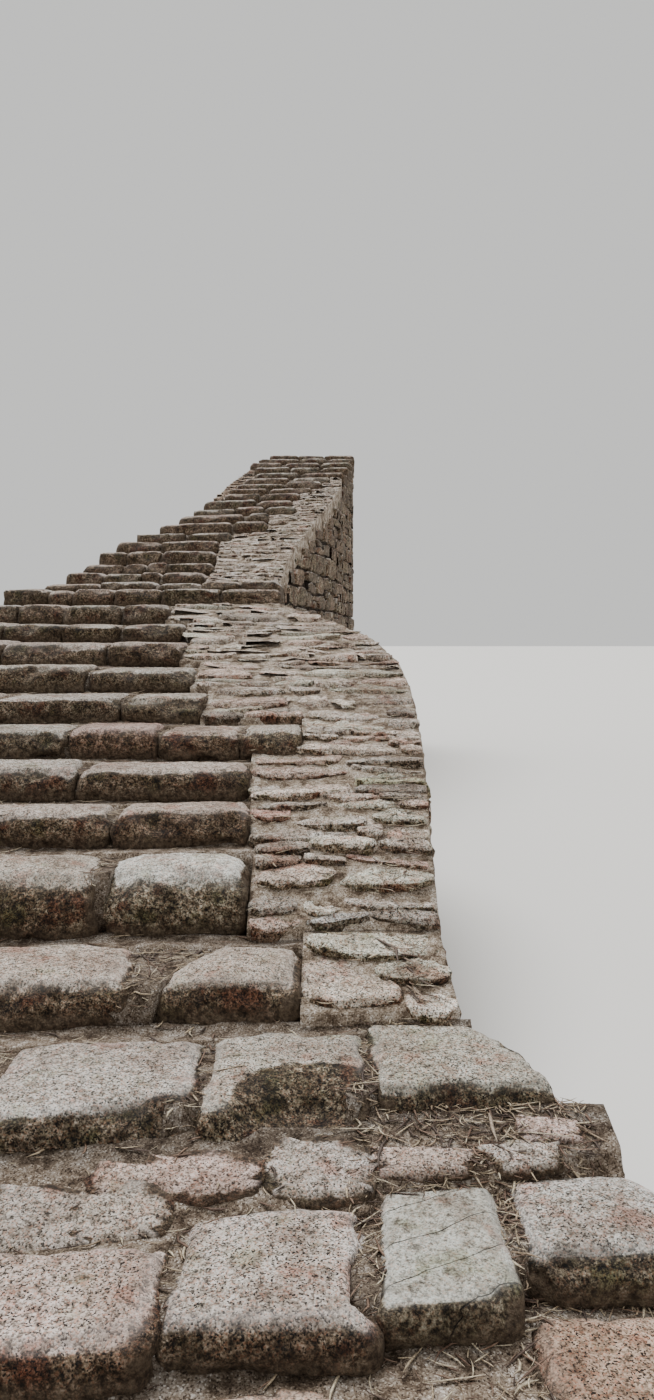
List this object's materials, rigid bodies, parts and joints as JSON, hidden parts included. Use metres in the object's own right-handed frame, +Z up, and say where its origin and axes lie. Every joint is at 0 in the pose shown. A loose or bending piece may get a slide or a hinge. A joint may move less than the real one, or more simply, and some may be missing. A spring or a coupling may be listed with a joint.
{
  "type": "outdoor stone steps",
  "caption": "Long outdoor flight of rough granite block steps with earth-filled joints, stone pitching beside the treads and dry stone walls down to level ground.",
  "frame": {"origin": "on the ground under the lowest course, at the middle of its width and 150 mm in from the foot of its riser", "axes": "+Y up the flight, +X to the right of someone climbing, +Z up"},
  "size_m": [3.6, 15.3071, 4.5886],
  "materials": {
    "granite_blocks": "split granite, worn smooth on top and rough below",
    "dry_stone_walling": "rough granite laid dry, with open joints",
    "packed_rubble": "packed rubble and earth",
    "trodden_earth": "trodden earth with leaf litter",
    "granite_pitching": "thin granite stones set on edge and worn"
  },
  "bodies": {
    "root": {"back_wall": "dry_stone_walling", "left_bank": "granite_pitching", "lower_left_wall": "dry_stone_walling", "lower_pitching": "granite_pitching", "lower_right_wall": "dry_stone_walling", "lower_rubble_core": "packed_rubble", "step_01": "granite_blocks", "step_02": "granite_blocks", "step_03": "granite_blocks", "step_04": "granite_blocks", "step_05": "granite_blocks", "step_06": "granite_blocks", "step_07": "granite_blocks", "step_08": "granite_blocks", "step_09": "granite_blocks", "step_10": "granite_blocks", "step_11": "granite_blocks", "step_12": "granite_blocks", "step_13": "granite_blocks", "step_14": "granite_blocks", "step_15": "granite_blocks", "step_16": "granite_blocks", "step_17": "granite_blocks", "step_18": "granite_blocks", "step_19": "granite_blocks", "step_20": "granite_blocks", "step_21": "granite_blocks", "step_22": "granite_blocks", "step_23": "granite_blocks", "step_24": "granite_blocks", "step_25": "granite_blocks", "step_26": "granite_blocks", "step_27": "granite_blocks", "step_28": "granite_blocks", "step_29": "granite_blocks", "step_30": "granite_blocks", "step_31": "granite_blocks", "step_32": "granite_blocks", "step_33": "granite_blocks", "tread_earth": "trodden_earth", "tread_flags": "granite_blocks", "upper_left_wall": "dry_stone_walling", "upper_pitching": "granite_pitching", "upper_right_wall": "dry_stone_walling", "upper_rubble_core": "packed_rubble"}
  },
  "joints": []
}
